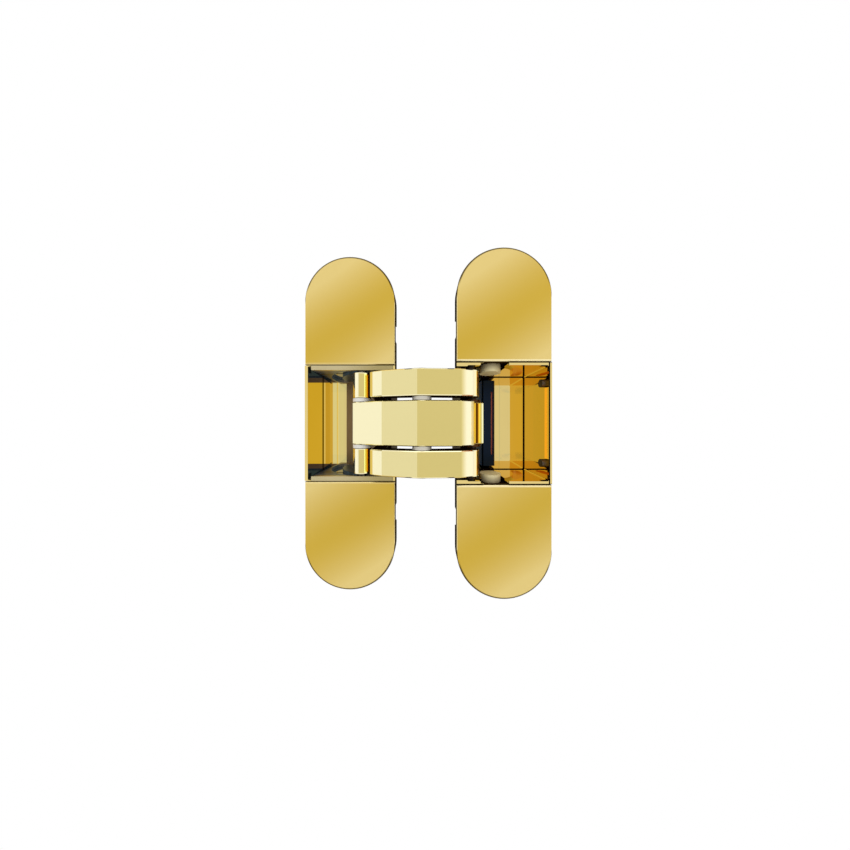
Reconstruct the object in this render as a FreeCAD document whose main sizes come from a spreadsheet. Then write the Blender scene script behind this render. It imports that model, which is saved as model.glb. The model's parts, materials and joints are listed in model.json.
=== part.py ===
"""Concealed door hinge, 111 x 30 mm faces, shown open at 180 degrees.

Frame: +Z up along the pivot axes, +X from the frame-side body to the door-side body, +Y into
the frame and the door leaf. The origin is the middle of the frame-side body, in the plane of
the back of its flange. Lengths are millimetres.

Across each body, u is measured from its middle towards the other body, and the depth v from
its face into the wood.
"""

import FreeCAD, Part
import math
import os
import re

from FreeCAD import Placement, Rotation, Vector

SIZES = [
    ("body_height", 111.0),
    ("body_width", 30.0),
    ("body_spacing", 50.0),
    ("face_step", 3.75),
    ("flange_depth", 4.25),
    ("cover_thick", 2.0),
    ("cover_shell", 0.8),
    ("cover_gap", 0.05),
    ("cover_room", 0.2),
    ("cover_seam", 0.3),
    ("cover_edge", 0.25),
    ("window_half", 19.5),
    ("frame_depth", 26.2),
    ("door_depth", 31.5),
    ("case_floor", 1.5),
    ("case_rim", 0.7),
    ("case_round", 2.0),
    ("cup_back_edge", 1.0),
    ("case_overlap", 0.5),
    ("far_inset", 0.1),
    ("near_inset", 2.2),
    ("near_wall", 1.1),
    ("far_wall", 0.9),
    ("cup_step", 0.35),
    ("cup_inset", 0.1),
    ("cup_drop", 0.25),
    ("cup_draft", 0.8),
    ("frame_joint", 10.5),
    ("door_joint", 17.0),
    ("joint_groove", 0.5),
    ("door_rim", 1.2),
    ("frame_rim", 0.55),
    ("door_corner", 0.5),
    ("frame_corner", 0.4),
    ("notch_rim", 1.55),
    ("notch_depth", 6.0),
    ("pry_height", 31.0),
    ("pry_length", 6.0),
    ("pry_depth", 1.2),
    ("screw_hole", 4.5),
    ("screw_head", 7.6),
    ("sink_depth", 1.6),
    ("screw_across", 16.0),
    ("screw_end", 11.5),
    ("carrier_play", 0.1),
    ("carrier_far_play", 1.1),
    ("carrier_near_play", 0.5),
    ("carrier_plate", 1.15),
    ("carrier_back_play", 0.1),
    ("carrier_back", 1.0),
    ("carrier_window", 2.9),
    ("lip_inset", 0.7),
    ("lip_thick", 1.2),
    ("lip_play", 0.1),
    ("arm_clear", 0.7),
    ("arm_gap", 1.3),
    ("arm_height", 8.5),
    ("arm_edge", 0.35),
    ("washer_thick", 1.2),
    ("washer_radius", 3.1),
    ("washer_play", 0.05),
    ("pin_radius", 1.6),
    ("pin_fit", 0.04),
    ("pin_seat", 0.5),
    ("pin_short", 0.3),
    ("guide_slack", 0.35),
    ("frame_arm_in", 6.56),
    ("frame_arm_v", 11.49),
    ("door_arm_in", 7.34),
    ("door_arm_v", 11.52),
    ("centre_shift", 0.994),
    ("centre_v", 1.383),
    ("frame_guide_in", 11.77),
    ("frame_guide_v", 3.11),
    ("door_guide_in", 4.89),
    ("door_guide_v", 3.02),
    ("door_guide_pin", 1.2),
    ("frame_track_in", 11.05),
    ("frame_track_v", 16.87),
    ("frame_track_radius", 14.04),
    ("door_track_in", 11.22),
    ("door_track_v", 14.04),
    ("door_track_radius", 12.97),
    ("door_track_depth", 0.7),
    ("track_end_play", 0.1),
    ("frame_barrel", 2.9),
    ("door_barrel", 3.2),
    ("centre_barrel", 3.1),
    ("middle_barrel", 2.7),
    ("knuckle_radius", 3.05),
    ("arm_end_radius", 2.75),
    ("boss_u", 2.5),
    ("boss_v", 6.7),
    ("boss_radius", 3.5),
    ("boss_drop", 1.1),
    ("recess_gap", 0.5),
    ("recess_under", 0.3),
    ("grub_radius", 1.3),
    ("grub_height", 13.0),
    ("grub_depth", 2.6),
    ("grub_stand", 1.3),
    ("grub_hole_length", 4.0),
    ("block_near", 2.0),
    ("block_far", 3.3),
    ("block_front", 18.6),
    ("block_edge", 0.6),
    ("groove_out", 1.7),
    ("groove_width", 0.5),
    ("groove_depth", 0.6),
    ("groove_half", 12.7),
    ("seat_floor", 0.8),
    ("seat_gap", 0.1),
    ("head_sink", 0.25),
    ("adjuster_above", 8.0),
    ("adjuster_radius", 3.6),
    ("adjuster_key", 4.0),
    ("key_floor", 0.4),
    ("past", 1.0),
]

# Sizes that follow from the others.
DERIVED = [
    ("cap_centre", "body_height / 2 - body_width / 2"),
    ("case_half", "window_half + case_rim"),
    ("case_far", "body_width / 2 - far_inset"),
    ("case_near", "body_width / 2 - near_inset"),
    ("door_pocket_half", "window_half - door_rim"),
    ("frame_pocket_half", "window_half - frame_rim"),
    ("notch_half", "window_half - notch_rim"),
    ("door_recess_top", "window_half + recess_under"),
    ("boss_end", "door_pocket_half - boss_drop"),
    ("door_cup_half", "door_pocket_half - cup_drop"),
    ("door_cup_end", "door_cup_half - cup_draft"),
    ("screw_height", "body_height / 2 - screw_end"),
    ("adjuster_height", "window_half + adjuster_above"),
    ("carrier_half", "frame_pocket_half - carrier_play"),
    ("carrier_far", "case_far - far_wall - carrier_far_play"),
    ("carrier_near", "case_near - near_wall - carrier_near_play"),
    ("carrier_depth", "frame_depth - case_floor - carrier_back_play"),
    ("lip_near", "body_width / 2 - lip_inset"),
    ("lip_top", "window_half - cover_seam"),
    ("outer_high", "carrier_half - carrier_plate - arm_clear"),
    ("outer_low", "outer_high - arm_height"),
    ("middle_half", "outer_low - arm_gap"),
    ("frame_arm_u", "body_width / 2 - frame_arm_in"),
    ("frame_guide_u", "body_width / 2 - frame_guide_in"),
    ("frame_track_u", "body_width / 2 - frame_track_in"),
    ("door_arm_u", "body_width / 2 - door_arm_in"),
    ("door_guide_u", "body_width / 2 - door_guide_in"),
    ("door_track_u", "body_width / 2 - door_track_in"),
    ("centre_x", "body_spacing / 2 - centre_shift"),
    ("washer_low", "middle_half + washer_play"),
    ("washer_high", "middle_half + washer_thick"),
    ("door_track_reach", "door_pocket_half + door_track_depth"),
]

# Two places this close together, in millimetres, are the same place.
SAME_PLACE = 1e-6

# How far each guide pin swings along its track, in degrees about the track's centre.
FRAME_TRACK_TURN = -100.5
DOOR_TRACK_TURN = 118.1

# Plan outlines of the arms, each (x, y) from the middle between the bodies and from the door
# face, drawn for bodies that stand DRAWN_SPACING apart and are DRAWN_WIDTH wide. A wider body
# brings its half of an arm nearer to the middle.
DRAWN_SPACING = 50.0
DRAWN_WIDTH = 30.0
FRONT_FACETS = [(-13.8, 0.75), (-2.4, -1.9), (11.3, -1.25)]
OUTER_LEFT = [(-18.1, 6.2), (-18.0, 2.7)]
OUTER_RIGHT = [(15.0, 0.0), (16.4, 0.8), (17.1, 1.9)]
OUTER_BACK = [
    (15.4, 5.7), (2.2, 4.2), (-4.2, 4.3), (-12.2, 5.6), (-13.75, 8.4), (-13.75, 15.2),
    (-19.35, 15.2),
]
MIDDLE_LEFT = [(-24.7, 7.0), (-24.45, 4.97)]
MIDDLE_RIGHT = [(14.6, 0.0), (15.7, 0.9), (16.3, 2.4)]
MIDDLE_BACK = [
    (16.9, 6.2), (20.2, 6.5), (20.5, 11.0), (14.3, 12.4), (13.75, 6.4), (12.4, 4.9),
    (2.2, 4.3), (-4.0, 4.4), (-12.0, 6.4), (-20.9, 9.75), (-23.2, 9.4),
]

doc = FreeCAD.newDocument("concealed_hinge")
sheet = doc.addObject("Spreadsheet::Sheet", "Sizes")
for row, (alias, value) in enumerate(SIZES + DERIVED, start=1):
    sheet.set("A%d" % row, alias)
    sheet.set("B%d" % row, str(value) if isinstance(value, float) else "=" + value)
    sheet.setAlias("B%d" % row, alias)
doc.recompute()

NAMES = re.compile(r"\b(%s)\b" % "|".join(alias for alias, value in SIZES + DERIVED))


def size(alias):
    """A size read from the sheet, as a plain number."""
    return float(sheet.get(alias))


def bind(thing, prop, text):
    """Tie a property to a sum of named sizes."""
    thing.setExpression(prop, NAMES.sub(r"Sizes.\1", str(text)))


def place(thing, x, y, z, turn=None):
    if turn is not None:
        thing.Placement = Placement(Vector(), turn)
    for letter, text in (("x", x), ("y", y), ("z", z)):
        bind(thing, "Placement.Base.%s" % letter, text)
    return thing


def box(name, x0, x1, y0, y1, z0, z1):
    thing = doc.addObject("Part::Box", name)
    for prop, low, high in (("Length", x0, x1), ("Width", y0, y1), ("Height", z0, z1)):
        bind(thing, prop, "(%s) - (%s)" % (high, low))
    return place(thing, x0, y0, z0)


def upright(name, radius, x, y, z0, z1):
    """A cylinder along Z."""
    thing = doc.addObject("Part::Cylinder", name)
    bind(thing, "Radius", radius)
    bind(thing, "Height", "(%s) - (%s)" % (z1, z0))
    return place(thing, x, y, z0)


def inward(name, radius, x, y0, y1, z, tip=None):
    """A cylinder along Y from depth y0 to y1, or a cone when its tip has a radius of its own."""
    if tip is None:
        thing = doc.addObject("Part::Cylinder", name)
        bind(thing, "Radius", radius)
    else:
        thing = doc.addObject("Part::Cone", name)
        bind(thing, "Radius1", radius)
        bind(thing, "Radius2", tip)
    bind(thing, "Height", "(%s) - (%s)" % (y1, y0))
    return place(thing, x, y0, z, Rotation(Vector(1, 0, 0), -90))


def fuse(name, things):
    thing = doc.addObject("Part::MultiFuse", name)
    thing.Shapes = things
    thing.Refine = True
    return thing


def cut(name, base, tools):
    thing = doc.addObject("Part::Cut", name)
    thing.Base = base
    thing.Tool = tools[0] if len(tools) == 1 else fuse(name + "_tools", tools)
    thing.Refine = True
    return thing


def edges_where(block, wanted, amount):
    """Numbers of the edges that are wanted, each with the size of its rounding or chamfer."""
    doc.recompute()
    picked = []
    for number, edge in enumerate(block.Shape.Edges, start=1):
        start, end = [vertex.Point for vertex in edge.Vertexes]
        if wanted(start, end):
            picked.append((number, size(amount), size(amount)))
    return picked


def rounded(name, block, radius):
    """A box with its four edges along Y rounded."""
    thing = doc.addObject("Part::Fillet", name)
    thing.Base = block
    thing.Edges = edges_where(block, lambda start, end: abs(start.y - end.y) > size("past"), radius)
    return thing


def bevelled(name, block, wanted, amount):
    """A solid with the wanted edges chamfered."""
    thing = doc.addObject("Part::Chamfer", name)
    thing.Base = block
    thing.Edges = edges_where(block, wanted, amount)
    return thing


class Side:
    """One body of the hinge: where its middle and its face are, and which way u points."""

    def __init__(self, name, middle, face, sign):
        self.name = name
        self.middle = middle
        self.face = face
        self.sign = sign

    def x(self, u):
        return "%s %s (%s)" % (self.middle, "+" if self.sign > 0 else "-", u)

    def y(self, v):
        return "%s + (%s)" % (self.face, v)

    def box(self, name, u0, u1, v0, v1, z0, z1):
        left, right = (u0, u1) if self.sign > 0 else (u1, u0)
        return box(self.name + name, self.x(left), self.x(right), self.y(v0), self.y(v1), z0, z1)

    def upright(self, name, radius, u, v, z0, z1):
        return upright(self.name + name, radius, self.x(u), self.y(v), z0, z1)

    def inward(self, name, radius, u, v0, v1, z, tip=None):
        return inward(self.name + name, radius, self.x(u), self.y(v0), self.y(v1), z, tip)

    def point(self, u, v):
        """The same place as plain numbers, for the drawn outlines."""
        across = 0.0 if self.sign > 0 else size("body_spacing")
        face = -size("flange_depth") - (0.0 if self.sign > 0 else size("face_step"))
        return Vector(across + self.sign * u, face + v, 0)


FRAME = Side("frame_", "0", "-flange_depth", 1)
DOOR = Side("door_", "body_spacing", "-flange_depth - face_step", -1)
FAR_AWAY = "body_height"


def stadium(side, name, shrink, v0, v1):
    """A plate with full-round ends, drawn in from the face's outline by shrink."""
    radius = "body_width / 2 - (%s)" % shrink
    pieces = [
        side.inward(name + "_upper", radius, 0, v0, v1, "cap_centre"),
        side.inward(name + "_lower", radius, 0, v0, v1, "-cap_centre"),
        side.box(name + "_bar", "-(%s)" % radius, radius, v0, v1, "-cap_centre", "cap_centre"),
    ]
    return fuse(side.name + name, pieces)


def track(side, pin_radius, turn, reach):
    """An arc-shaped slot with round ends, in which a side's guide pin travels.

    It starts at the guide pin and goes round the track's centre by turn, in degrees.
    """
    prefix = side.name
    centre = side.point(size(prefix + "track_u"), size(prefix + "track_v"))
    guide = side.point(size(prefix + "guide_u"), size(prefix + "guide_v"))
    radius = size(prefix + "track_radius")
    width = size(pin_radius) + size("guide_slack")
    height = 2 * size(reach)
    down = Vector(0, 0, -size(reach))
    start = math.degrees(math.atan2(guide.y - centre.y, guide.x - centre.x))
    ends = []
    for angle in (start, start + turn):
        turned = math.radians(angle)
        spot = centre + Vector(math.cos(turned), math.sin(turned), 0) * radius
        ends.append(Part.makeCylinder(width, height, spot + down))
    outer = Part.makeCylinder(radius + width, height, centre + down, Vector(0, 0, 1), abs(turn))
    inner = Part.makeCylinder(radius - width, height, centre + down)
    outer.rotate(centre, Vector(0, 0, 1), min(start, start + turn))
    thing = doc.addObject("Part::Feature", prefix + "track")
    thing.Shape = outer.cut(inner).fuse(ends).removeSplitter()
    return thing


def keep(thing, label):
    thing.Label = label
    kept.append(thing)
    return thing


kept = []


def case_hollow(side):
    """The room inside the housing's part of the deep pocket."""
    pocket = side.name + "pocket_half"
    room = side.box("case_hollow", "-(case_far - far_wall)", "case_near - near_wall", "-past",
                    FAR_AWAY, "-" + pocket, pocket)
    return rounded(side.name + "case_room", room, side.name + "corner")


def cup_hollow(side, half, end_half):
    """The room inside the cup, which narrows from half to end_half in height towards its floor."""
    room = doc.addObject("Part::Wedge", side.name + "cup_hollow")
    left, right = "case_far - far_wall - cup_inset", "case_near - near_wall - cup_step"
    if side.sign < 0:
        left, right = right, left
    depth = "%sdepth - case_floor - %sjoint" % (side.name, side.name)
    for prop, text in (
            ("Xmin", "-(%s)" % left), ("Xmax", right), ("Zmin", "-" + half), ("Zmax", half),
            ("X2min", "-(%s)" % left), ("X2max", right), ("Z2min", "-" + end_half),
            ("Z2max", end_half), ("Ymin", "0"), ("Ymax", depth)):
        bind(room, prop, text)
    place(room, side.x("0"), side.y(side.name + "joint"), "0")
    return rounded(side.name + "cup_room", room, side.name + "corner")


def housing(side):
    """Die-cast body: face flange with two shallow ends, and the front of the deep pocket."""
    flange = stadium(side, "flange", "0", "cover_thick + cover_gap", "flange_depth")
    middle = side.box("middle", "-body_width / 2", "body_width / 2", "0", "flange_depth",
                      "-(window_half - cover_seam)", "window_half - cover_seam")
    block = side.box("case_block", "-case_far", "case_near", "flange_depth - case_overlap",
                     side.name + "joint - joint_groove", "-case_half", "case_half")
    case = rounded(side.name + "case", block, "case_round")
    solid = fuse(side.name + "casting", [flange, middle, case])
    cuts = [case_hollow(side)]
    cuts.append(side.box("notch", "case_near - near_wall - past", FAR_AWAY, "-past",
                         "notch_depth", "-notch_half", "notch_half"))
    for up, word in (("", "top"), ("-", "bottom")):
        for out, where in (("", "near"), ("-", "far")):
            tag = "%s_%s" % (where, word)
            cuts.extend(screw_hole(side, tag, "%s(screw_across / 2)" % out,
                                   "%sscrew_height" % up))
            cuts.append(pry_notch(side, tag, out, up))
        cuts.append(side.inward("adjuster_seat_" + word, "adjuster_radius + seat_gap", "0",
                                "0", "flange_depth - seat_floor", up + "adjuster_height"))
    return solid, cuts


def screw_hole(side, tag, u, z):
    """A fixing hole under a cover, with its countersink."""
    hole = side.inward("hole_" + tag, "screw_hole / 2", u, "0", "flange_depth + past", z)
    sink = side.inward("sink_" + tag, "screw_head / 2", u, "cover_thick + cover_gap",
                       "cover_thick + cover_gap + sink_depth", z, "screw_hole / 2")
    return [hole, sink]


def pry_notch(side, tag, out, up):
    """A notch in the flange's long edge, behind the cover, by which the cover is lifted off."""
    inner, outer = "body_width / 2 - pry_depth", "body_width / 2 + past"
    u0, u1 = (inner, outer) if out == "" else ("-(%s)" % outer, "-(%s)" % inner)
    low, high = "pry_height - pry_length / 2", "pry_height + pry_length / 2"
    z0, z1 = (low, high) if up == "" else ("-(%s)" % high, "-(%s)" % low)
    return side.box("pry_" + tag, u0, u1, "0", "flange_depth + past", z0, z1)


def rear_cup(side, half, end_half):
    """Rear half of the deep pocket, a separate cup that meets the housing at the joint line."""
    near, far = "case_near - cup_step", "case_far - cup_step"
    depth = side.name + "depth"
    block = side.box("cup_block", "-(%s)" % far, near, side.name + "joint", depth,
                     "-(case_half - cup_step)", "case_half - cup_step")
    shape = rounded(side.name + "cup", block, "case_round")
    back = side.point(0, size(depth)).y
    shell = bevelled(side.name + "cup_back", shape,
                     lambda start, end: abs(start.y + end.y - 2 * back) < SAME_PLACE,
                     "cup_back_edge")
    room = cup_hollow(side, half, end_half)
    return keep(cut(side.name + "cup_shape", shell, [room]), side.name + "rear_cup")


def cover(side, up):
    """Screwless cover over one shallow end: a thin cap with a skirt, its edge chamfered."""
    word = "top" if up == "" else "bottom"
    outer = stadium(side, "cover_blank_" + word, "0", "0", "cover_thick")
    inner = stadium(side, "cover_core_" + word, "cover_shell + cover_room", "cover_shell",
                    "cover_thick + past")
    end = "body_height"
    skirt = "window_half + cover_shell"
    open_end = ("-body_height", "window_half") if up == "" else ("-window_half", end)
    open_skirt = ("-body_height", skirt) if up == "" else ("-(%s)" % skirt, end)
    window = side.box("cover_end_" + word, "-body_width", "body_width", "-past",
                      "cover_thick + past", open_end[0], open_end[1])
    seat = side.box("cover_lip_" + word, "-body_width", "body_width", "0",
                    "cover_thick + 2 * past", open_skirt[0], open_skirt[1])
    core = cut(side.name + "cover_room_" + word, inner, [seat])
    blank = cut(side.name + "cover_half_" + word, outer, [window])
    face = side.point(0, 0).y
    bevel = bevelled(side.name + "cover_bevel_" + word, blank,
                     lambda start, end: abs(start.y + end.y - 2 * face) < SAME_PLACE,
                     "cover_edge")
    shell = cut(side.name + "cover_shape_" + word, bevel, [core])
    return keep(shell, side.name + "cover_" + word)


def hex_key(side, name, across, z):
    """A hexagon socket along Y that leaves a thin floor in the piece that it turns."""
    thing = doc.addObject("Part::Prism", side.name + name)
    thing.Polygon = 6
    bind(thing, "Circumradius", "%s / sqrt(3)" % across)
    bind(thing, "Height", "flange_depth - seat_floor - key_floor")
    return place(thing, side.x("0"), side.y("0"), z, Rotation(Vector(1, 0, 0), -90))


def adjusters(side, label):
    """Two sunk eccentrics, one under each cover, each with a hexagon socket."""
    group = []
    for up, word in (("", "top"), ("-", "bottom")):
        z = up + "adjuster_height"
        head = side.inward("adjuster_head_" + word, "adjuster_radius", "0",
                           "cover_thick + head_sink", "flange_depth - seat_floor - cover_gap", z)
        key = hex_key(side, "adjuster_key_" + word, "adjuster_key", z)
        group.append(cut("%sadjuster_%s" % (side.name, word), head, [key]))
    return keep(join(side.name + "adjuster_pair", group), label)


def join(name, things):
    """Separate solids kept as one group."""
    thing = doc.addObject("Part::Compound", name)
    thing.Links = things
    return thing


def outline(name, points, barrels, z0, z1):
    """An arm drawn in plan: a bent strip run out along Z, its long edges broken, and its barrels.

    Points go round the strip, each a vector. Barrels are (pivot, radius).
    """
    corners = [Vector(point.x, point.y, z0) for point in points]
    strip = Part.Face(Part.makePolygon(corners + corners[:1])).extrude(Vector(0, 0, z1 - z0))
    level = [edge for edge in strip.Edges
             if abs(edge.Vertexes[0].Point.z - edge.Vertexes[1].Point.z) < SAME_PLACE]
    solid = strip.makeChamfer(size("arm_edge"), level)
    for pivot, radius in barrels:
        solid = solid.fuse(Part.makeCylinder(radius, z1 - z0, Vector(pivot.x, pivot.y, z0)))
    thing = doc.addObject("Part::Feature", name)
    thing.Shape = solid.removeSplitter()
    return thing


def pivots():
    """The pivots in the hinge's own frame, as plain numbers."""
    return {
        "frame_arm": FRAME.point(size("frame_arm_u"), size("frame_arm_v")),
        "door_arm": DOOR.point(size("door_arm_u"), size("door_arm_v")),
        "centre": DOOR.point(size("body_spacing") - size("centre_x"), size("centre_v")),
        "frame_guide": FRAME.point(size("frame_guide_u"), size("frame_guide_v")),
        "door_guide": DOOR.point(size("door_guide_u"), size("door_guide_v")),
    }


def pivot_text(tag):
    """A pivot's place as sums of named sizes."""
    if tag == "centre":
        return "centre_x", DOOR.y("centre_v")
    side = FRAME if tag.startswith("frame") else DOOR
    return side.x(tag + "_u"), side.y(tag + "_v")


def drawn(left, right, back):
    """An arm's plan outline in the hinge's frame: its left end, facets, right end and back."""
    middle = DOOR.point(size("body_spacing") / 2, 0)
    grown = size("body_spacing") / DRAWN_SPACING
    nearer = (size("body_width") - DRAWN_WIDTH * grown) / 2
    points = []
    for x, y in left + FRONT_FACETS + right + back:
        shift = nearer if x < 0 else -nearer
        points.append(middle + Vector(x * grown + shift, y * grown, 0))
    return points


def drilled(name, blank, holes):
    """An arm with its pin holes. Each hole is (pivot, pin radius, clearance)."""
    tools = []
    for tag, radius, fit in holes:
        x, y = pivot_text(tag)
        tools.append(upright("%s_hole_%s" % (name, tag), "%s + %s" % (radius, fit), x, y,
                             "-(%s)" % FAR_AWAY, FAR_AWAY))
    return cut(name, blank, tools)


def build_arms():
    spot = pivots()
    plan = drawn(OUTER_LEFT, OUTER_RIGHT, OUTER_BACK)
    barrels = [
        (spot["frame_arm"], size("frame_barrel")),
        (spot["centre"], size("centre_barrel")),
        (spot["door_guide"], size("arm_end_radius")),
    ]
    holes = [
        ("frame_arm", "pin_radius", "pin_fit"),
        ("centre", "pin_radius", "0"),
        ("door_guide", "door_guide_pin", "0"),
    ]
    low, high = size("outer_low"), size("outer_high")
    for word, z0, z1 in (("top", low, high), ("bottom", -high, -low)):
        blank = outline("outer_blank_" + word, plan, barrels, z0, z1)
        keep(drilled("outer_shape_" + word, blank, holes), "outer_arm_" + word)

    plan = drawn(MIDDLE_LEFT, MIDDLE_RIGHT, MIDDLE_BACK)
    barrels = [
        (spot["door_arm"], size("door_barrel")),
        (spot["centre"], size("centre_barrel")),
        (spot["frame_guide"], size("middle_barrel")),
    ]
    holes = [
        ("door_arm", "pin_radius", "pin_fit"),
        ("centre", "pin_radius", "pin_fit"),
        ("frame_guide", "pin_radius", "0"),
    ]
    blank = outline("middle_blank", plan, barrels, -size("middle_half"), size("middle_half"))
    keep(drilled("middle_shape", blank, holes), "middle_arm")


def pin(label, tag, radius, reach):
    """A plain round pin from floor to ceiling."""
    x, y = pivot_text(tag)
    return keep(upright(label + "_rod", radius, x, y, "-(%s)" % reach, reach), label)


def rings(label, tag, outer, z0, z1):
    """A pair of round pieces on a pin, one above the middle and one below."""
    x, y = pivot_text(tag)
    pair = []
    for word, low, high in (("top", z0, z1), ("bottom", "-(%s)" % z1, "-(%s)" % z0)):
        disc = upright("%s_disc_%s" % (label, word), outer, x, y, low, high)
        hole = upright("%s_bore_%s" % (label, word), "pin_radius + pin_fit", x, y,
                       "-(%s)" % FAR_AWAY, FAR_AWAY)
        pair.append(cut("%s_%s" % (label, word), disc, [hole]))
    return pair


def washers(label, tag):
    pair = rings(label, tag, "washer_radius", "washer_low", "washer_high")
    return keep(join(label + "_pair", pair), label)


def build_frame_side():
    side = FRAME
    solid, cuts = housing(side)
    for up, low, high in (("top", "frame_pocket_half - past", "lip_top + lip_play"),
                          ("bottom", "-(lip_top + lip_play)", "-(frame_pocket_half - past)")):
        cuts.append(side.box("lip_room_" + up, "-(carrier_far + lip_play)",
                             "lip_near + lip_play", "-past", "lip_thick + cover_gap", low, high))
    keep(cut("frame_housing_shape", solid, cuts), "frame_housing")
    rear_cup(side, "frame_pocket_half", "frame_pocket_half")
    cover(side, "")
    cover(side, "-")
    carrier(side)
    pin("frame_arm_pin", "frame_arm", "pin_radius", "carrier_half - carrier_play")
    adjusters(side, "frame_depth_adjusters")


def carrier(side):
    """Grey die-cast carrier in the frame-side pocket: two plates with front lips and a back.

    The arc slots in its plates guide the pin at the middle arm's end. Its back stops short of
    the far wall, where the gold floor of the pocket shows.
    """
    inner = "carrier_half - carrier_plate"
    pieces = []
    for word, low, high, lip_low, lip_high in (
            ("top", inner, "carrier_half", inner, "lip_top"),
            ("bottom", "-carrier_half", "-(%s)" % inner, "-lip_top", "-(%s)" % inner)):
        pieces.append(side.box("carrier_plate_" + word, "-carrier_far", "carrier_near", "0",
                               "carrier_depth", low, high))
        pieces.append(side.box("carrier_lip_" + word, "-carrier_far", "lip_near", "0",
                               "lip_thick", lip_low, lip_high))
    pieces.append(side.box("carrier_back", "-(carrier_far - carrier_window)", "carrier_near",
                           "carrier_depth - carrier_back", "carrier_depth",
                           "-carrier_half", "carrier_half"))
    solid = fuse("carrier_casting", pieces)
    slot = track(side, "pin_radius", FRAME_TRACK_TURN, "case_half")
    x, y = pivot_text("frame_arm")
    hole = upright("carrier_pin_hole", "pin_radius", x, y, "-(%s)" % FAR_AWAY, FAR_AWAY)
    keep(cut("carrier_shape", solid, [slot, hole]), "frame_carrier")


def build_door_side():
    side = DOOR
    solid, cuts = housing(side)
    cuts.append(track(side, "door_guide_pin", DOOR_TRACK_TURN, "door_track_reach"))
    x, y = pivot_text("door_arm")
    reach = "door_pocket_half + pin_seat"
    cuts.append(upright("door_pin_hole", "pin_radius", x, y, "-(%s)" % reach, reach))
    inner = "door_pocket_half - past"
    for word, low, high, boss_low, boss_high in (
            ("top", inner, "door_recess_top", "boss_end", "door_recess_top"),
            ("bottom", "-door_recess_top", "-(%s)" % inner, "-door_recess_top", "-boss_end")):
        cuts.append(side.upright("recess_" + word, "boss_radius + recess_gap", "boss_u",
                                 "boss_v", low, high))
        cuts.append(side.box("recess_front_" + word, "boss_u - boss_radius - recess_gap",
                             "boss_u + boss_radius + recess_gap", "-past", "boss_v", low, high))
        keep(side.upright("boss_body_" + word, "boss_radius", "boss_u", "boss_v", boss_low,
                          boss_high), "door_boss_" + word)
    screws = []
    for word, z in (("top", "grub_height"), ("bottom", "-grub_height")):
        cuts.append(grub(side, "grub_hole_" + word, z, "grub_hole_length"))
        screws.append(grub(side, "grub_" + word, z, "far_wall + grub_stand"))
    keep(cut("door_housing_shape", solid, cuts), "door_housing")
    keep(join("grub_pair", screws), "door_grub_screws")
    rear_cup(side, "door_cup_half", "door_cup_end")
    slide_block(side)
    cover(side, "")
    cover(side, "-")
    pin("door_arm_pin", "door_arm", "pin_radius", reach)
    adjusters(side, "door_side_adjusters")
    washers("door_pin_washers", "door_arm")


def slide_block(side):
    """Dark block behind the arms' ends, from the floor of the cup to its ceiling.

    Its front edges are broken, and a narrow groove runs down its front.
    """
    block = side.box("block", "-block_far", "block_near", "block_front",
                     "door_depth - case_floor", "-door_cup_end", "door_cup_end")
    front = side.point(0, size("block_front")).y
    bevel = bevelled("block_bevel", block,
                     lambda start, end: abs(start.y + end.y - 2 * front) + abs(start.x - end.x)
                     < SAME_PLACE, "block_edge")
    groove = side.box("block_groove", "-(groove_out + groove_width)", "-groove_out",
                      "block_front - past", "block_front + groove_depth", "-groove_half",
                      "groove_half")
    keep(cut("block_shape", bevel, [groove]), "door_slide_block")


def grub(side, name, z, length):
    """A grub screw or its hole, along X, from the outside of the far wall inwards."""
    thing = doc.addObject("Part::Cylinder", side.name + name)
    bind(thing, "Radius", "grub_radius")
    bind(thing, "Height", length)
    return place(thing, side.x("-case_far"), side.y("grub_depth"), z,
                 Rotation(Vector(0, 1, 0), 90 * side.sign))


def build_pins_and_washers():
    pin("centre_pin", "centre", "pin_radius", "outer_high - pin_short")
    washers("centre_washers", "centre")
    pin("frame_guide_pin", "frame_guide", "pin_radius", "carrier_half - carrier_play")
    washers("knuckle_washers", "frame_guide")
    top, bottom = rings("knuckle", "frame_guide", "knuckle_radius", "outer_low", "outer_high")
    keep(top, "knuckle_bush_top")
    keep(bottom, "knuckle_bush_bottom")
    x, y = pivot_text("door_guide")
    reach = "door_track_reach - track_end_play"
    stubs = [
        upright("guide_stub_top", "door_guide_pin", x, y, "outer_low", reach),
        upright("guide_stub_bottom", "door_guide_pin", x, y, "-(%s)" % reach, "-outer_low"),
    ]
    keep(join("guide_stub_pair", stubs), "door_guide_pins")


def export():
    os.makedirs("parts", exist_ok=True)
    for thing in doc.Objects:
        if "Invalid" in thing.State or "Error" in thing.State:
            raise RuntimeError("%s did not build: %s" % (thing.Label, thing.State))
    for thing in kept:
        shape = thing.Shape
        if shape.isNull() or not shape.isValid() or not shape.Solids:
            raise RuntimeError("%s is not a valid solid" % thing.Label)
    for thing in kept:
        thing.Shape.exportStep("parts/%s.step" % thing.Label)
        print(thing.Label, len(thing.Shape.Solids), round(thing.Shape.Volume, 1))


build_frame_side()
build_door_side()
build_arms()
build_pins_and_washers()
doc.recompute()
export()
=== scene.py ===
"""Looks of the concealed door hinge: plated gold, bare casting, nylon washers and dark screws."""

import json
import math

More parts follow.
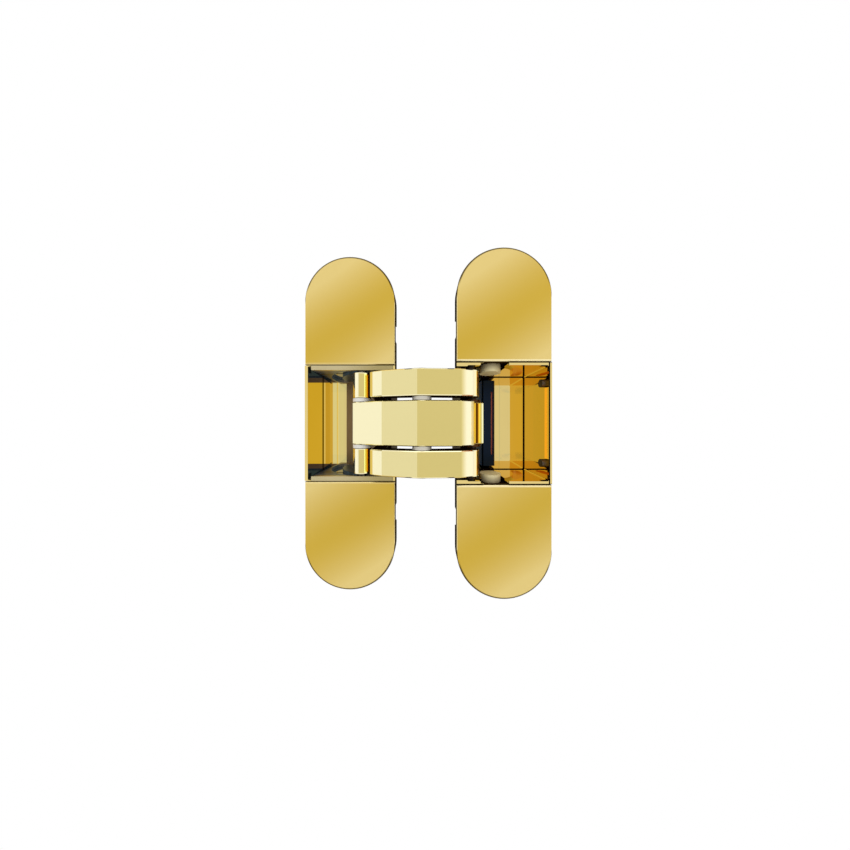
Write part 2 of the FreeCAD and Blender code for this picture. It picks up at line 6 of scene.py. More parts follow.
import bmesh
import bpy
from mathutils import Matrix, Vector

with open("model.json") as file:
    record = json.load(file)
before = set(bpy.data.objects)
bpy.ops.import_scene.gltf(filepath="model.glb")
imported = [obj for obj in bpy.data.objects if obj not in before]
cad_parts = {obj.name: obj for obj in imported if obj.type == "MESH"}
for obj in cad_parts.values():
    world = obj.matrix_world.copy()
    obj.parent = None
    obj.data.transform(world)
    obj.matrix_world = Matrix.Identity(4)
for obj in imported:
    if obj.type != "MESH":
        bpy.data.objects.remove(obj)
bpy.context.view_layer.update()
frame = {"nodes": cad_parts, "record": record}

MM = 0.001

# The photograph is a square of PHOTO_SIDE pixels. The hinge's middle height is on CENTRE_ROW.
PHOTO_SIDE = 850
SENSOR = 36.0
FOCAL_PIXELS = 207.5
CENTRE_ROW = 423.2
CAMERA_AT = Vector((25.0, -73.3, 0.0)) * MM

# The studio, in metres. The lamps aim at the hinge's middle.
AIM = Vector((0.025, 0.0, 0.0))
FLOOR_RADIUS = 3.0
FLOOR_HEIGHT = -0.30
WORLD_STRENGTH = 0.75

# Sizes of the hinge that the finishes follow, in millimetres. Heights are from the hinge's
# middle. The floors and joints lie behind a body's face, and the walls and shells are placed
# from a body's middle towards the gap between the bodies. The block's sides are along x.
SPACING = 50.0
MIDDLE = SPACING / 2
HALF_HEIGHT = 55.5
HALF_WIDTH = 15.0
FACE_STEP = 3.75
FLANGE = 4.25
CAP_CENTRE = HALF_HEIGHT - HALF_WIDTH
FACE_RADIUS = 14.75
WINDOW_HALF = 19.5
FRAME_POCKET_HALF = 18.95
DOOR_POCKET_HALF = 18.3
FRAME_FLOOR = 24.7
DOOR_FLOOR = 30.0
FRAME_JOINT = 10.5
DOOR_JOINT = 17.0
FAR_WALL = -14.0
FAR_SHELL = -14.9
NEAR_WALL = 11.7
NEAR_SHELL = 12.8
MIDDLE_ARM_HALF = 7.2
OUTER_ARM_LOW = 8.5
OUTER_ARM_HIGH = 17.0
CARRIER_HALF = 18.85
CARRIER_PLATE = 1.15
BLOCK_NEAR = SPACING - 2.0
BLOCK_FAR = SPACING + 3.3
BLOCK_FRONT = 18.6 - FACE_STEP - FLANGE
GROOVE_HALF = 12.7

# The slanting band of painted sheen, deep gold, crosses a cover's middle line at this height.
SHEEN_BAND_HEIGHT = 33.3
# A region's border keeps this far from the surface that it leaves out.
SKIN = 0.05
# Stands for the lower edge of a piece that has none.
NO_EDGE = -1.0

BLACK = (0.0, 0.0, 0.0, 1.0)
WHITE = (1.0, 1.0, 1.0, 1.0)


def linear(red, green, blue):
    """A colour given as screen values from 0 to 255, as the shader's linear values."""
    def one(value):
        value /= 255.0
        return value / 12.92 if value <= 0.04045 else ((value + 0.055) / 1.055) ** 2.4
    return (one(red), one(green), one(blue), 1.0)


class Value:
    """A number that varies over the surface. Arithmetic on it adds Math nodes."""

    def __init__(self, shading, socket):
        self.shading = shading
        self.socket = socket

    def __add__(self, other):
        return self.shading.math("ADD", self, other)

    def __sub__(self, other):
        return self.shading.math("SUBTRACT", self, other)

    def __rsub__(self, other):
        return self.shading.math("SUBTRACT", other, self)

    def __mul__(self, other):
        return self.shading.math("MULTIPLY", self, other)

    __radd__ = __add__
    __rmul__ = __mul__

    def size(self):
        return self.shading.math("ABSOLUTE", self)

    def sign(self):
        return self.shading.math("SIGN", self)

    def power(self, exponent):
        return self.shading.math("POWER", self, exponent)

    def root(self):
        return self.shading.math("SQRT", self)

    def sine(self):
        return self.shading.math("SINE", self)

    def above(self, limit):
        """1 above the limit, and 0 elsewhere."""
        return self.shading.math("GREATER_THAN", self, limit)

    def below(self, limit):
        """1 below the limit, and 0 elsewhere."""
        return self.shading.math("LESS_THAN", self, limit)

    def between(self, low, high):
        """1 from low to high, and 0 elsewhere."""
        return self.above(low) * self.below(high)

    def either(self, other):
        """The larger of two, which is 1 where one of two masks is."""
        return self.shading.math("MAXIMUM", self, other)

    def clamp(self):
        return self.shading.math("MINIMUM", self.either(0.0), 1.0)

    def band(self, low, high):
        """0 below low, 1 above high, smooth between."""
        ramp = self.shading.node("ShaderNodeMapRange", {"interpolation_type": "SMOOTHSTEP"},
                                 {"Value": self, "From Min": low, "From Max": high})
        return Value(self.shading, ramp.outputs["Result"])


class Shading:
    """A tree of shader nodes, of a material or of the world."""

    def __init__(self, tree):
        self.tree = tree

    def plug(self, value, socket):
        """Links a varying value to a socket, or sets a plain one on it."""
        if isinstance(value, Value):
            value = value.socket
        if isinstance(value, bpy.types.NodeSocket):
            self.tree.links.new(value, socket)
        else:
            socket.default_value = value

    def node(self, kind, settings=None, inputs=None):
        """Any node: its type, its settings, and the value or link of each input by name or place."""
        made = self.tree.nodes.new(kind)
        for name, setting in (settings or {}).items():
            setattr(made, name, setting)
        for name, value in (inputs or {}).items():
            self.plug(value, made.inputs[name])
        return made

    def math(self, operation, *terms):
        made = self.node("ShaderNodeMath", {"operation": operation}, dict(enumerate(terms)))
        return Value(self, made.outputs[0])

    def white_where_seen(self, white, plain):
        """One shader for the camera, mirror and clear rays, and the plain one for the rest."""
        path = self.node("ShaderNodeLightPath").outputs
        seen = Value(self, path["Is Camera Ray"]).either(path["Is Glossy Ray"])
        seen = seen.either(path["Is Transmission Ray"])
        return self.node("ShaderNodeMixShader", None, {0: seen, 1: plain, 2: white}).outputs[0]


class Finish(Shading):
    """One material, with its shader."""

    def __init__(self, name):
        self.material = bpy.data.materials.new(name)
        self.material.use_nodes = True
        super().__init__(self.material.node_tree)
        self.shader = self.tree.nodes["Principled BSDF"]
        self.surface = self.tree.nodes["Material Output"].inputs["Surface"]

    def object_place(self):
        return self.node("ShaderNodeTexCoord").outputs["Object"]

    def place(self):
        """The surface point in the hinge's own frame, as three values in millimetres."""
        split = self.node("ShaderNodeSeparateXYZ", None, {"Vector": self.object_place()})
        return [Value(self, out) * (1.0 / MM) for out in split.outputs]

    def noise(self, scale, detail, roughness=0.5):
        grain = self.node("ShaderNodeTexNoise", None, {
            "Vector": self.object_place(), "Scale": scale, "Detail": detail,
            "Roughness": roughness})
        return Value(self, grain.outputs["Fac"])

    def blend(self, factor, first, second):
        """A colour between two, each a colour or a socket."""
        mix = self.node("ShaderNodeMix", {"data_type": "RGBA"}, {0: factor, 6: first, 7: second})
        return mix.outputs[2]

    def layers(self, colour, *over):
        """A colour with others laid over it in turn, each given as where it lies and what it is."""
        for where, laid in over:
            colour = self.blend(where, colour, laid)
        return colour

    def stripes(self, along, colour, steps):
        """A colour that changes along a value, each step given as its start, end and colour."""
        return self.layers(colour, *((along.band(low, high), laid) for low, high, laid in steps))

    def feed(self, socket, value):
        """A varying value or a plain one for one of the shader's sockets."""
        self.plug(value, self.shader.inputs[socket])

    def glow(self, colour):
        """Painted light that the surface gives off as its own, though it is no lamp."""
        self.feed("Emission Color", colour)
        self.feed("Emission Strength", 1.0)

    def darken(self, where, colour):
        """Painted shade: a dull dark surface in place of the metal, where the value is 1."""
        dull = self.node("ShaderNodeBsdfDiffuse", None, {"Color": colour})
        mix = self.node("ShaderNodeMixShader", None, {
            0: where, 1: self.shader.outputs[0], 2: dull.outputs[0]})
        self.plug(mix.outputs[0], self.surface)

    def bump(self, height, strength, distance):
        made = self.node("ShaderNodeBump", None, {
            "Strength": strength, "Distance": distance, "Height": height})
        self.feed("Normal", made.outputs["Normal"])


class BodyPlace:
    """Where a point of either body lies, measured from that body's own middle and face."""

    def __init__(self, finish):
        self.x, y, self.z = finish.place()
        self.door = self.x.above(MIDDLE)
        self.frame_side = 1.0 - self.door
        self.across = self.x - self.door * SPACING
        self.inward = self.x * self.frame_side + (SPACING - self.x) * self.door
        self.height = self.z.size()
        self.depth = y + (self.door * FACE_STEP + FLANGE)

    def on_each(self, on_frame, on_door):
        """One number on the frame side and another on the door side."""
        return self.door * (on_door - on_frame) + on_frame


class CastingPlace(BodyPlace):
    """A point of a housing or a rear cup, with the regions that take their own colour, painted light
    or painted shade.
    """

    def __init__(self, finish):
        super().__init__(finish)
        floor_depth = self.on_each(FRAME_FLOOR, DOOR_FLOOR)
        pocket_half = self.on_each(FRAME_POCKET_HALF + 0.15, DOOR_POCKET_HALF + 0.1)
        self.pocket = (self.inward.between(FAR_WALL - 0.3, NEAR_WALL + 0.3)
                       * self.height.below(pocket_half)
                       * self.depth.between(SKIN, floor_depth + 0.15))
        self.floor = self.pocket * self.depth.above(floor_depth - 0.2)
        self.far_wall = self.pocket * self.inward.below(FAR_WALL + 1.0) * (1.0 - self.floor)
        self.rim = self.depth.below(SKIN)
        self.behind = self.depth.above(FLANGE - SKIN) * (1.0 - self.pocket)
        self.hidden_floor = self.floor * self.door * self.inward.above(3.2)
        self.track = (self.door * self.height.between(DOOR_POCKET_HALF + 0.1, WINDOW_HALF - 0.35)
                      * self.inward.between(FAR_WALL - 0.3, -1.6) * self.depth.between(0.3, 16.5))
        self.recess = (self.door * self.height.between(DOOR_POCKET_HALF + SKIN, WINDOW_HALF + 0.4)
                       * self.inward.between(-1.6, 7.0) * self.depth.between(0.3, 12.0))


def satin_gold():
    """Satin plated covers: deep gold along a slanting band of painted sheen, paler towards both
    corners, with painted highlights along the window's edge and the straight chamfers, and painted
    shade on the rounded edge and as a dark outline.
    """
    finish = Finish("satin_gold_plate")
    at = BodyPlace(finish)
    grain = finish.noise(900.0, 4.0)
    cloud = (finish.noise(30.0, 1.0) - 0.5) * 2.4
    # Painted sheen: deep gold along a slanting band, paler painted reflection away from it.
    off_band = at.across * 0.555 - (at.z - at.z.sign() * SHEEN_BAND_HEIGHT) * 0.83 + cloud
    pale = (off_band.size() * (1.0 / 16.5)).power(1.7).clamp()
    # Painted highlight along the cover's window edge.
    border_highlight = at.height.below(WINDOW_HALF + 0.65) * at.on_each(0.2, 0.8)
    face = finish.layers(linear(209, 175, 69), (pale, linear(230, 205, 130)),
                         (border_highlight, linear(255, 240, 190)))
    # Painted highlight on the straight chamfers, painted shade on the rounded edge.
    curved = at.height.band(CAP_CENTRE - 1.0, CAP_CENTRE + 1.0)
    edge = finish.blend(curved, linear(248, 232, 178), linear(96, 78, 38))
    finish.feed("Base Color", finish.blend(at.depth.band(0.03, 0.10), face, edge))
    finish.feed("Metallic", 1.0)
    finish.feed("Roughness", grain * 0.06 + 0.30)

    # Painted shade: a dark line just inside the rounded top, and dark rounded and straight edges.
    above_centre = at.height - CAP_CENTRE
    radius = (at.across * at.across + above_centre * above_centre).root()
    outline = radius.band(FACE_RADIUS - 0.42, FACE_RADIUS - 0.22)
    outline = outline * at.height.band(CAP_CENTRE + 2.0, CAP_CENTRE + 6.0)
    round_edge = curved * at.depth.above(0.04)
    straight_edge = at.height.below(WINDOW_HALF + 0.25).either(at.inward.above(FACE_RADIUS - 0.05))
    dark = round_edge.either(straight_edge * at.depth.above(0.2)).either(outline * 0.85)
    finish.darken(dark, linear(62, 46, 20))
    finish.bump(grain, 0.04, 0.02 * MM)
    return finish.material


def casting_colour(finish, at, cloud):
    """Bright rims, shells with a slanting painted sheen, a deep gold mirror in the door's pocket,
    and near black where painted light glows instead.
    """
    plate = finish.blend(cloud, linear(226, 196, 96), linear(232, 203, 108))
    # Painted sheen: a slanting band on the shells and flanges, paler away from it.
    on_flange = at.height.above(WINDOW_HALF + 0.45)
    off_band = at.across * 0.555 - (at.z - at.z.sign() * on_flange * SHEEN_BAND_HEIGHT) * 0.6
    off_band = off_band + (at.depth - 16.0) * (1.0 - on_flange) * 0.5 + (cloud - 0.5) * 3.0
    sheen = (off_band.size() * (1.0 / 15.0)).power(1.6).clamp()
    shell = finish.blend(sheen, linear(190, 154, 66), linear(232, 206, 128))
    # Near black where the pockets, floors and tracks glow with painted light.
    lit = at.pocket * at.frame_side + at.floor * at.door + at.track
    return finish.layers(
        plate,
        (at.behind, shell),
        (at.rim, linear(228, 204, 132)),
        (at.pocket * at.door, linear(238, 194, 60)),
        (lit * 0.8, BLACK))


def frame_wall_light(finish, at, cloud):
    """Painted reflections on the frame side's far wall, in bands of depth, with slanting painted
    shadows and painted shade at its top and mouth.
    """
    gold = finish.blend(cloud, linear(200, 156, 33), linear(205, 161, 38))
    # Slanting painted shadows across the wall.
    low_slant = at.height - at.depth * 0.195
    high_slant = at.height - at.depth * 0.22
    top_slant = at.height + at.depth * 0.125
    top_shadow = top_slant.band(18.4, 18.55) * at.depth.below(17.4)
    ceiling = at.height.above(FRAME_POCKET_HALF - 0.45) * at.inward.above(FAR_WALL + 1.4)
    mouth = at.height.above(16.9) * at.depth.below(2.2)
    return finish.layers(
        gold,
        (at.depth.band(11.0, 12.0), linear(190, 144, 32)),
        (at.depth.band(15.6, 17.0), linear(178, 134, 24)),
        (at.depth.band(18.4, 18.7), linear(196, 184, 122)),
        (at.depth.between(22.6, 23.1), linear(178, 150, 52)),
        (at.depth.between(23.1, 23.9), linear(214, 178, 86)),
        (at.depth.between(11.2, 11.9), linear(232, 198, 98)),
        (low_slant.band(13.4, 13.55), linear(62, 46, 32)),
        (high_slant.band(15.0, 15.1), linear(14, 24, 32)),
        (high_slant.band(15.7, 15.8), linear(36, 46, 44)),
        # Painted shadow along the top, dim painted light where the ceiling shows, and painted shade
        # at the mouth.
        (top_shadow, linear(4, 10, 20)),
        (ceiling, linear(54, 60, 54)),
        (mouth, linear(4, 8, 12)))


def pocket_light(finish, at, cloud):
    """The painted light that the pockets glow with: their floors, the frame side's walls, a painted
    glint down the door's far wall, and painted reflections on the door's tracks.
    """
    floor = finish.blend(cloud, linear(192, 181, 120), linear(198, 187, 126))
    # A painted glint, orange then pale, down the door's far wall near its face.
    glint_strip = at.far_wall * at.door * at.height.below(11.4)
    # Dim painted light in the frame side's pocket, painted reflections on its far wall, the floors
    # lit by the room, and painted shade on part of the door's floor.
    light = finish.layers(
        linear(24, 32, 38),
        (at.far_wall + at.floor, frame_wall_light(finish, at, cloud)),
        (at.floor, floor),
        (at.hidden_floor, linear(34, 18, 8)),
        (at.door * (1.0 - at.floor), BLACK),
        (glint_strip * at.depth.between(0.7, 2.4), linear(172, 84, 0)),
        (glint_strip * at.depth.between(0.1, 0.9), linear(206, 156, 40)))
    # Painted reflections on the door's tracks, gold and then orange along x.
    track = finish.blend(at.x.band(55.2, 55.4), linear(140, 104, 20), linear(150, 84, 10))
    return finish.layers(BLACK, (at.pocket, light), (at.track, track))


def casting_shadows(at):
    """Painted shade on a casting: along the flange edges, in lines round the door pocket's rim, in
    its top corner, on the near side, in the notch behind the flange, on part of the door's floor and
    in the recess; and the dark joint lines.
    """
    outside = at.across.size().above(HALF_WIDTH - 0.2).either(at.height.above(WINDOW_HALF - 0.35))
    # Painted shade along the flange edges, lighter away from the gap between the bodies.
    painted_flange_shade = (outside * at.depth.between(SKIN, FLANGE - SKIN)
               * (at.inward.band(2.0, 14.0) * 0.35 + 0.65))
    joint = (at.depth.between(DOOR_JOINT - 1.05, DOOR_JOINT + 0.3) * at.door
             + at.depth.between(FRAME_JOINT - 0.75, FRAME_JOINT + 0.5) * at.frame_side * 0.7)
    joint = (joint * at.inward.between(FAR_SHELL - SKIN, NEAR_SHELL + 0.1)
             * at.height.below(WINDOW_HALF - 0.35))
    # Painted shade in lines round the door pocket's rim, and a painted shadow in its top far corner.
    far_line = at.inward.between(FAR_WALL - 0.42, FAR_WALL + SKIN)
    rim_line = at.rim * at.door * far_line.either(at.height.above(WINDOW_HALF - 0.45))
    corner = (at.pocket * at.door * at.height.above(DOOR_POCKET_HALF - 0.4)
              * at.inward.below(FAR_WALL + 2.2) * at.depth.below(1.7))
    # Painted shade on the near side, which faces the other body, and in the notch behind the flange.
    near_side = at.inward.above(NEAR_SHELL - 0.5) * at.behind * 0.93
    notch = (at.inward.between(NEAR_WALL - 0.7, HALF_WIDTH + 0.2)
             * at.depth.between(FLANGE + SKIN, 6.6) * at.height.below(DOOR_POCKET_HALF))
    shadows = painted_flange_shade + joint + rim_line + corner + near_side + notch
    return (shadows + at.hidden_floor + at.recess).clamp()


def polished_gold():
    """Polished plated castings: bright rims, painted shade along the flange edges, deep gold pockets
    and a painted sheen on the shells.

    The walls of a pocket mirror its floor, which mirrors the bright room in front. The floors, the
    frame side's walls and the door's tracks glow with that light, painted as their own.
    """
    finish = Finish("polished_gold_casting")
    at = CastingPlace(finish)
    cloud = finish.noise(60.0, 3.0)
    finish.feed("Base Color", casting_colour(finish, at, cloud))
    finish.feed("Metallic", 1.0)
    finish.feed("Roughness", cloud * 0.03 + 0.03 + at.behind * 0.2)
    finish.glow(pocket_light(finish, at, cloud))
    finish.darken(casting_shadows(at), linear(24, 12, 8))
    return finish.material


def plain_gold(finish, cloud):
    """The arms' gold where no painted reflection lies on it."""
    return finish.blend(cloud, linear(214, 196, 124), linear(219, 202, 131))


def arm_facets(finish, x, y, cloud, right_steps):
    """The arms' front colours from left to right, painted reflections of the room, and the plain
    gold behind.
    """
    facet_reflections = finish.stripes(x, linear(240, 232, 190), [
        (11.1, 11.3, linear(231, 218, 158)),
        (22.5, 22.7, linear(215, 197, 124)),
        (36.0, 38.4, linear(248, 239, 200)),
        *right_steps,
    ])
    return finish.blend(1.0 - y.band(-1.6, -1.2), plain_gold(finish, cloud), facet_reflections)


def arm_edges(finish, gold, height, low, high):
    """Painted highlights just inside the broken edges, and painted shade on the edges, on the faces
    in the gaps between the arms and just beyond.
    """
    # Painted highlights just inside the edges.
    bright = height.between(low + 0.05, low + 0.35).either(
        height.between(high - 0.35, high - 0.05))
    # Painted shade on the edges and in the gaps between the arms.
    dark = height.between(low - 0.5, low + 0.09).either(
        height.between(high - 0.09, high + 0.5))
    finish.feed("Base Color", finish.blend(bright, gold, linear(253, 243, 196)))
    finish.darken(dark, linear(50, 34, 20))


def middle_arm_gold():
    """The middle arm: painted reflections, pale at its left end, with stepped painted highlights and
    painted shade at its right end.
    """
    finish = Finish("polished_gold_middle_arm")
    x, y, z = finish.place()
    cloud = finish.noise(80.0, 3.0)
    # The right end's painted highlights and painted shade, step by step.
    gold = arm_facets(finish, x, y, cloud, [
        (39.5, 39.7, linear(255, 252, 190)),
        (40.3, 40.6, linear(254, 212, 62)),
        (41.9, 42.1, linear(235, 185, 50)),
        (42.45, 42.6, linear(84, 42, 5)),
        (43.2, 43.35, linear(220, 150, 30)),
        (43.5, 43.65, linear(255, 222, 80)),
        (44.05, 44.2, linear(205, 185, 100)),
        (44.5, 44.7, linear(255, 252, 205)),
        (45.15, 45.25, linear(150, 130, 80)),
    ])
    # Less metallic at the right end's corner, so its painted colours show about as given.
    corner = x.between(39.65, 41.5) * y.below(-3.0)
    finish.feed("Metallic", 1.0 - corner * 0.8)
    finish.feed("Roughness", cloud * 0.04 + 0.10)
    arm_edges(finish, gold, z.size(), NO_EDGE, MIDDLE_ARM_HALF)
    return finish.material


def outer_arm_gold():
    """The outer arms: fronts painted with reflections, ending at the right in a painted highlight
    and a rounded edge of painted shade.
    """
    finish = Finish("polished_gold_outer_arm")
    x, y, z = finish.place()
    cloud = finish.noise(80.0, 3.0)
    # The right end: a painted highlight, then painted shade on the rounded edge.
    gold = arm_facets(finish, x, y, cloud, [
        (40.5, 40.7, linear(254, 237, 186)),
        (41.25, 41.4, linear(250, 212, 88)),
        (41.9, 42.05, linear(66, 40, 10)),
    ])
    gold = finish.blend(x.band(7.7, 8.1), linear(216, 184, 88), gold)
    finish.feed("Metallic", 1.0)
    finish.feed("Roughness", cloud * 0.04 + 0.10)
    arm_edges(finish, gold, z.size(), OUTER_ARM_LOW, OUTER_ARM_HIGH)
    return finish.material


def knuckle_gold():
    """Round knuckles, with upright stripes of painted reflection on their fronts."""
    finish = Finish("polished_gold_knuckle")
    x, y, z = finish.place()
    cloud = finish.noise(80.0, 3.0)
    # Painted reflections in upright stripes across the front.
    front = finish.stripes(x, linear(246, 238, 202), [
        (2.6, 3.1, linear(214, 196, 123)),
        (4.6, 4.75, linear(255, 255, 150)),
        (5.3, 5.4, linear(255, 196, 60)),
        (5.6, 5.7, linear(110, 44, 6)),
    ])
    gold = finish.blend(y.band(-0.8, 0.2), front, plain_gold(finish, cloud))
    finish.feed("Metallic", 1.0)
    finish.feed("Roughness", cloud * 0.04 + 0.10)
    arm_edges(finish, gold, z.size(), OUTER_ARM_LOW, OUTER_ARM_HIGH)
    return finish.material


def grey_casting():
    """Bare die casting: warm grey lips with a faint mottle; inside, painted shade makes it bluer and
    darker.

    The ends of the arc slots glow with a dim painted light, as of light falling through them.
    """
    finish = Finish("bare_grey_casting")
    x, y, z = finish.place()
    height = z.size()
    cloud = finish.noise(120.0, 5.0, 0.6)
    lips = finish.blend(cloud, linear(192, 178, 134), linear(208, 194, 152))
    lips = finish.blend(x.band(-4.0, 10.0), lips, linear(176, 160, 108))
    column = finish.blend(cloud, linear(140, 124, 104), linear(154, 136, 114))
    # Painted shade: bluer and darker under the plates, darker still further back.
    plate_front = finish.blend(cloud, linear(84, 94, 106), linear(94, 104, 116))
    plate_back = finish.blend(cloud, linear(46, 66, 88), linear(56, 76, 98))
    plates = finish.blend(y.band(-3.5, 0.5), plate_front, plate_back)
    on_plates = height.band(OUTER_ARM_HIGH - 1.0, OUTER_ARM_HIGH) * (1.0 - y.band(14.0, 17.0))
    behind_lips = y.band(-3.4, -2.6)
    metal = finish.layers(column, (on_plates, plates), (y.between(1.6, 2.5), linear(20, 30, 34)))
    slots = height.between(CARRIER_HALF - CARRIER_PLATE + SKIN, CARRIER_HALF - SKIN)
    slots = slots * y.above(-3.0)
    finish.feed("Base Color", finish.blend(behind_lips, lips, metal))
    finish.feed("Metallic", 0.8 - behind_lips * 0.55)
    finish.feed("Roughness", cloud * 0.1 + 0.32)
    # A dim painted light at the ends of the slots.
    finish.glow(finish.blend(slots, BLACK, linear(38, 44, 42)))
    finish.bump(cloud, 0.08, 0.05 * MM)
    return finish.material


def boss_casting():
    """The two round bosses: soft warm grey, with painted shade at the top and lighter down their
    fronts.
    """
    finish = Finish("bare_grey_boss")
    z = finish.place()[2]
    cloud = finish.noise(120.0, 5.0, 0.6)
    metal = finish.blend(cloud, linear(248, 232, 178), linear(255, 242, 190))
    # Painted shade: darker at the top, lighter down the fronts.
    down_front = ((WINDOW_HALF + 0.1 - z.size()) * 0.55).clamp()
    finish.feed("Base Color", finish.blend(down_front, linear(190, 172, 132), metal))
    finish.feed("Metallic", 0.2)
    finish.feed("Roughness", cloud * 0.1 + 0.5)
    finish.bump(cloud, 0.08, 0.05 * MM)
    return finish.material


def mottled_metal(name, scale, detail, dark, light, metallic, roughness, spread):
    """A plain metal that wanders between two colours, its roughness with them."""
    finish = Finish(name)
    cloud = finish.noise(scale, detail)
    finish.feed("Base Color", finish.blend(cloud, dark, light))
    finish.feed("Metallic", metallic)
    finish.feed("Roughness", cloud * spread + roughness)
    return finish.material


def bronze_washer():
    """Dark bronze washers on the door side's arm pin."""
    return mottled_metal("dark_bronze_washer", 500.0, 3.0,
                         linear(62, 38, 20), linear(96, 62, 30), 0.9, 0.3, 0.1)


def blackened_pin():
    """Oil-blackened pins that run in the door pocket."""
    return mottled_metal("oil_blackened_pin", 500.0, 3.0,
                         linear(20, 14, 12), linear(46, 30, 20), 0.5, 0.4, 0.1)


def dark_steel():
    """Blackened steel of the grub screws and the adjusters, worn lighter in patches."""
    return mottled_metal("blackened_steel", 700.0, 4.0,
                         linear(60, 52, 46), linear(104, 92, 80), 0.9, 0.3, 0.15)


def white_nylon():
    """Moulded washers with a faint cloudiness, greyer with painted shade away from the carrier."""
    finish = Finish("white_nylon_washer")
    x = finish.place()[0]
    cloud = finish.noise(300.0, 2.0)
    white = finish.blend(cloud, linear(240, 238, 232), linear(252, 250, 245))
    # Painted shade: greyer past x 10 to 14.
    finish.feed("Base Color", finish.blend(x.band(10.0, 14.0), white, linear(224, 218, 202)))
    finish.feed("Roughness", cloud * 0.1 + 0.35)
    return finish.material


def pin_steel():
    """Ground pins with fine rings round them."""
    finish = Finish("ground_pin_steel")
    z = finish.place()[2]
    cloud = finish.noise(400.0, 4.0)
    rings = (z * 24.0 + cloud * 3.0).sine() * 0.5 + 0.5
    finish.feed("Base Color", finish.blend(rings, linear(150, 146, 138), linear(176, 172, 164)))
    finish.feed("Metallic", 1.0)
    finish.feed("Roughness", cloud * 0.12 + 0.2)
    return finish.material


def block_steel():
    """The slide block: a near-black front tinted navy with painted shade, a copper line of painted
    reflection, and a flank glowing with painted light.

    The far flank glows with the bright room's painted light, as the pocket's floor does, and the
    near flank with a dim blue painted light on a near-black colour.
    """
    finish = Finish("slide_block_black_and_shade")
    x, y, z = finish.place()
    cloud = finish.noise(500.0, 4.0)
    # Near black, tinted navy as painted shade.
    steel = finish.blend(cloud, linear(14, 27, 44), linear(24, 36, 52))
    # A copper line of painted reflection down the front.
    groove_reflection = (x.between(51.65, 52.25) * z.size().below(GROOVE_HALF + SKIN)
              * y.above(BLOCK_FRONT + 0.02))
    flank_painted_light = x.above(BLOCK_FAR - SKIN)
    near_flank = x.below(BLOCK_NEAR + 0.1)
    finish.feed("Base Color", finish.layers(
        steel,
        (groove_reflection, linear(176, 104, 76)),
        (near_flank, linear(10, 14, 20)),
        (flank_painted_light, linear(104, 92, 46))))
    # Painted light on both flanks.
    finish.glow(finish.layers(
        BLACK,
        (near_flank, linear(18, 28, 40)),
        (flank_painted_light, linear(192, 181, 120))))
    finish.feed("Metallic", 0.9)
    finish.feed("Roughness", cloud * 0.15 + 0.35)
    return finish.material


def dress_nodes():
    """Each piece takes the finish that its record names, or its own where it has one."""
    by_slot = {
        "satin_gold": satin_gold(),
        "polished_gold": polished_gold(),
        "arm_gold": outer_arm_gold(),
        "grey_casting": grey_casting(),
        "white_nylon": white_nylon(),
        "pin_steel": pin_steel(),
        "dark_steel": dark_steel(),
    }
    knuckle = knuckle_gold()
    boss = boss_casting()
    black_pin = blackened_pin()
    by_node = {
        "middle_arm": middle_arm_gold(),
        "knuckle_bush_top": knuckle,
        "knuckle_bush_bottom": knuckle,
        "door_boss_top": boss,
        "door_boss_bottom": boss,
        "door_slide_block": block_steel(),
        "door_pin_washers": bronze_washer(),
        "door_guide_pins": black_pin,
        "door_arm_pin": black_pin,
    }
    for subpart in frame["record"]["subparts"]:
        piece = frame["nodes"][subpart["node"]]
        material = by_node.get(subpart["node"], by_slot[subpart["material_slot"]])
        if not piece.material_slots:
            piece.data.materials.append(material)
        for slot in piece.material_slots:
            slot.material = material


def make_world():
    """Soft light all round, and plain white where the camera or a polished face sees it."""
    world = bpy.data.worlds.new("studio")
    bpy.context.scene.world = world
    world.use_nodes = True
    studio = Shading(world.node_tree)
    soft = studio.tree.nodes["Background"]
    studio.plug(WHITE, soft.inputs["Color"])
    studio.plug(WORLD_STRENGTH, soft.inputs["Strength"])
    white = studio.node("ShaderNodeBackground", None, {"Color": WHITE, "Strength": 1.0})
    shown = studio.white_where_seen(white.outputs[0], soft.outputs[0])
    studio.plug(shown, studio.tree.nodes["World Output"].inputs["Surface"])


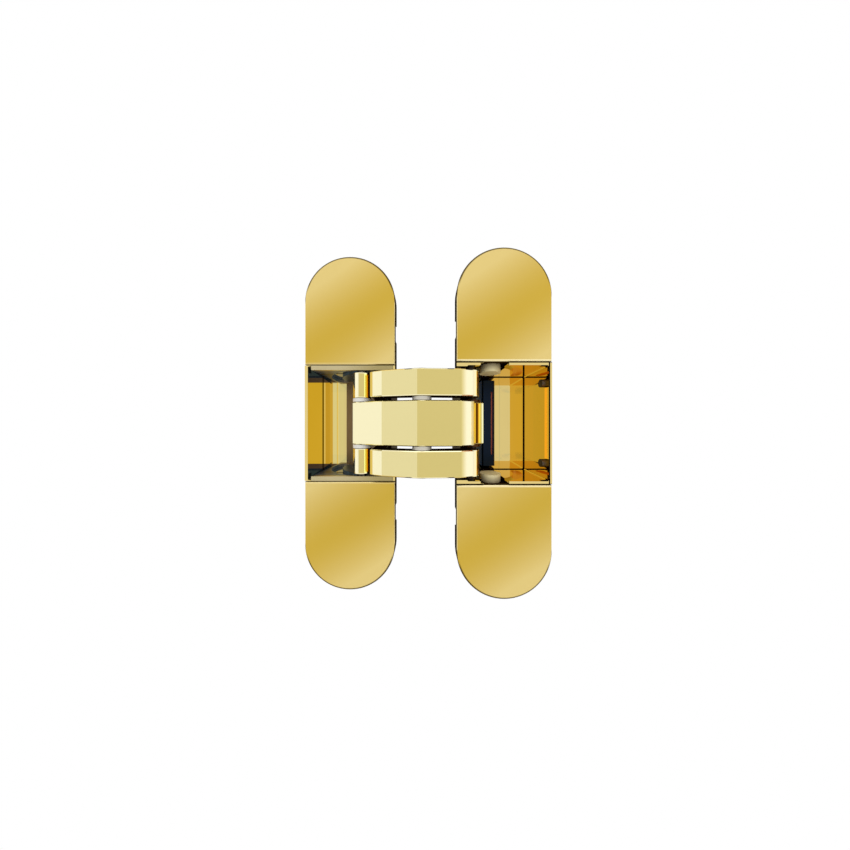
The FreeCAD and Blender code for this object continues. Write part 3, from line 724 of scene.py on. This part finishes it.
def make_floor():
    """A wide pale floor well below the hinge, which hangs as it does in a door frame."""
    mesh = bpy.data.meshes.new("studio_floor")
    shape = bmesh.new()
    bmesh.ops.create_circle(shape, cap_ends=True, segments=96, radius=FLOOR_RADIUS)
    bmesh.ops.translate(shape, vec=AIM + Vector((0.0, 0.0, FLOOR_HEIGHT)), verts=shape.verts)
    shape.to_mesh(mesh)
    shape.free()
    floor = bpy.data.objects.new("studio_floor", mesh)
    bpy.context.collection.objects.link(floor)
    finish = Finish("studio_floor_white")
    finish.feed("Base Color", (0.9, 0.9, 0.9, 1.0))
    finish.feed("Roughness", 0.8)
    white = finish.node("ShaderNodeEmission", None, {"Color": WHITE, "Strength": 1.0})
    shown = finish.white_where_seen(white.outputs[0], finish.shader.outputs[0])
    finish.plug(shown, finish.surface)
    mesh.materials.append(finish.material)


def soft_light(name, at, width, height, power):
    """A rectangular lamp that faces the hinge, its place and size in metres."""
    data = bpy.data.lights.new(name, "AREA")
    data.shape = "RECTANGLE"
    data.size = width
    data.size_y = height
    data.energy = power
    lamp = bpy.data.objects.new(name, data)
    bpy.context.collection.objects.link(lamp)
    lamp.location = Vector(at)
    lamp.rotation_mode = "QUATERNION"
    lamp.rotation_quaternion = (AIM - lamp.location).to_track_quat("-Z", "Y")


def make_lights():
    soft_light("left_softbox", (-0.62, -0.36, 0.18), 0.45, 0.9, 0.12)
    soft_light("right_softbox", (0.62, -0.46, 0.10), 0.40, 0.9, 0.12)
    soft_light("top_softbox", (0.0, -0.2, 0.8), 0.6, 0.5, 0.6)


def make_camera():
    """Level, close to the faces, with the photograph's very short lens."""
    data = bpy.data.cameras.new("photo_camera")
    data.sensor_fit = "HORIZONTAL"
    data.sensor_width = SENSOR
    data.lens = FOCAL_PIXELS * SENSOR / PHOTO_SIDE
    data.shift_y = -(PHOTO_SIDE / 2 - CENTRE_ROW) / PHOTO_SIDE
    data.clip_start = 0.001
    data.clip_end = 50.0
    camera = bpy.data.objects.new("photo_camera", data)
    bpy.context.collection.objects.link(camera)
    camera.location = CAMERA_AT
    camera.rotation_euler = (math.radians(90.0), 0.0, 0.0)
    bpy.context.scene.camera = camera


bpy.context.scene.view_settings.view_transform = "Standard"
make_camera()
make_world()
make_floor()
make_lights()
dress_nodes()
